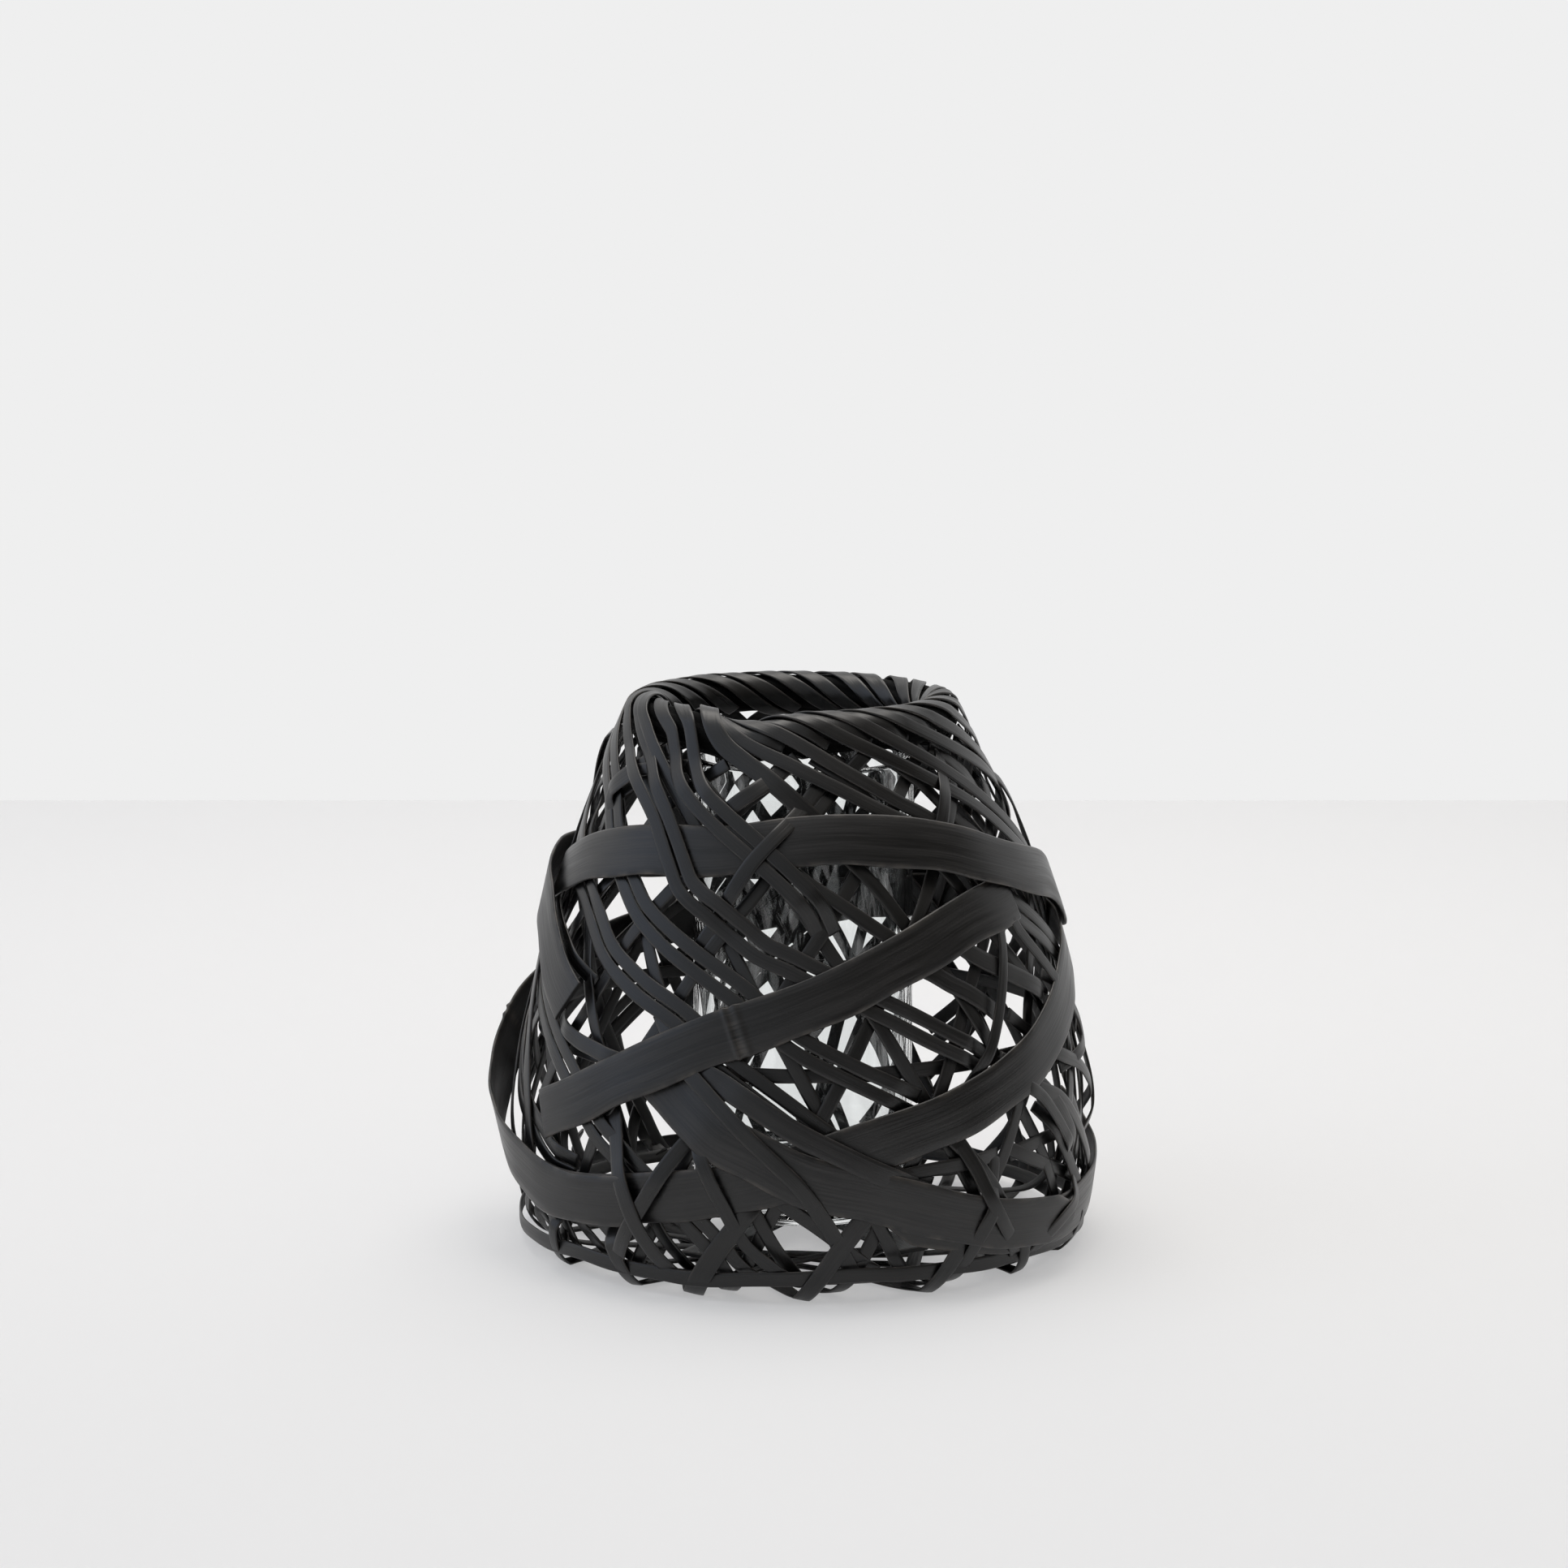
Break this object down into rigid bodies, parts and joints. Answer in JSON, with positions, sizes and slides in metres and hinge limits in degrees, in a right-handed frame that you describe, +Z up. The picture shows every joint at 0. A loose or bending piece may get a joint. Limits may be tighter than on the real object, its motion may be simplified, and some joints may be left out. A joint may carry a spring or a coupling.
{
  "type": "ikebana basket",
  "caption": "Small flower basket loosely plaited from black-dyed bamboo strips, with a rolled rim, wide bands wound round it and a clear glass water tube that lifts out.",
  "frame": {"origin": "under the middle of the basket, on the surface that it stands on", "axes": "+Z up; +Y away from the front, +X to the right seen from the front"},
  "size_m": [0.1428, 0.1376, 0.1277],
  "materials": {
    "black_bamboo": "black-dyed split bamboo, satin",
    "wide_bamboo": "black-dyed flattened bamboo, satin, with a fine long grain",
    "core_bamboo": "black-dyed round bamboo core, matt",
    "clear_glass": "clear drawn glass, polished"
  },
  "bodies": {
    "basket": {"stake_01": "black_bamboo", "stake_02": "black_bamboo", "stake_03": "black_bamboo", "stake_04": "black_bamboo", "stake_05": "black_bamboo", "stake_06": "black_bamboo", "stake_07": "black_bamboo", "stake_08": "black_bamboo", "stake_09": "black_bamboo", "stake_10": "black_bamboo", "stake_11": "black_bamboo", "stake_12": "black_bamboo", "stake_13": "black_bamboo", "stake_14": "black_bamboo", "stake_15": "black_bamboo", "stake_16": "black_bamboo", "foot_hoop": "black_bamboo", "waist_hoop": "black_bamboo", "rim_core": "core_bamboo", "return_01_a": "black_bamboo", "return_01_b": "black_bamboo", "return_02_a": "black_bamboo", "return_02_b": "black_bamboo", "return_03_a": "black_bamboo", "return_03_b": "black_bamboo", "return_04_a": "black_bamboo", "return_04_b": "black_bamboo", "return_05_a": "black_bamboo", "return_05_b": "black_bamboo", "return_06_a": "black_bamboo", "return_06_b": "black_bamboo", "return_07_a": "black_bamboo", "return_07_b": "black_bamboo", "return_08_a": "black_bamboo", "return_08_b": "black_bamboo", "return_09_a": "black_bamboo", "return_09_b": "black_bamboo", "return_10_a": "black_bamboo", "return_10_b": "black_bamboo", "return_11_a": "black_bamboo", "return_11_b": "black_bamboo", "return_12_a": "black_bamboo", "return_12_b": "black_bamboo", "shoulder_band": "wide_bamboo", "middle_band": "wide_bamboo", "belly_band": "wide_bamboo", "low_band": "wide_bamboo", "foot_band": "wide_bamboo", "floor_brace_01": "black_bamboo", "floor_brace_02": "black_bamboo", "floor_brace_03": "black_bamboo"},
    "tube": {"water_tube": "clear_glass"}
  },
  "joints": [
    {"name": "tube_lift", "type": "slide", "parent": "basket", "child": "tube", "axis": [0, 0, 1], "range_m": [0, 0.135]}
  ]
}
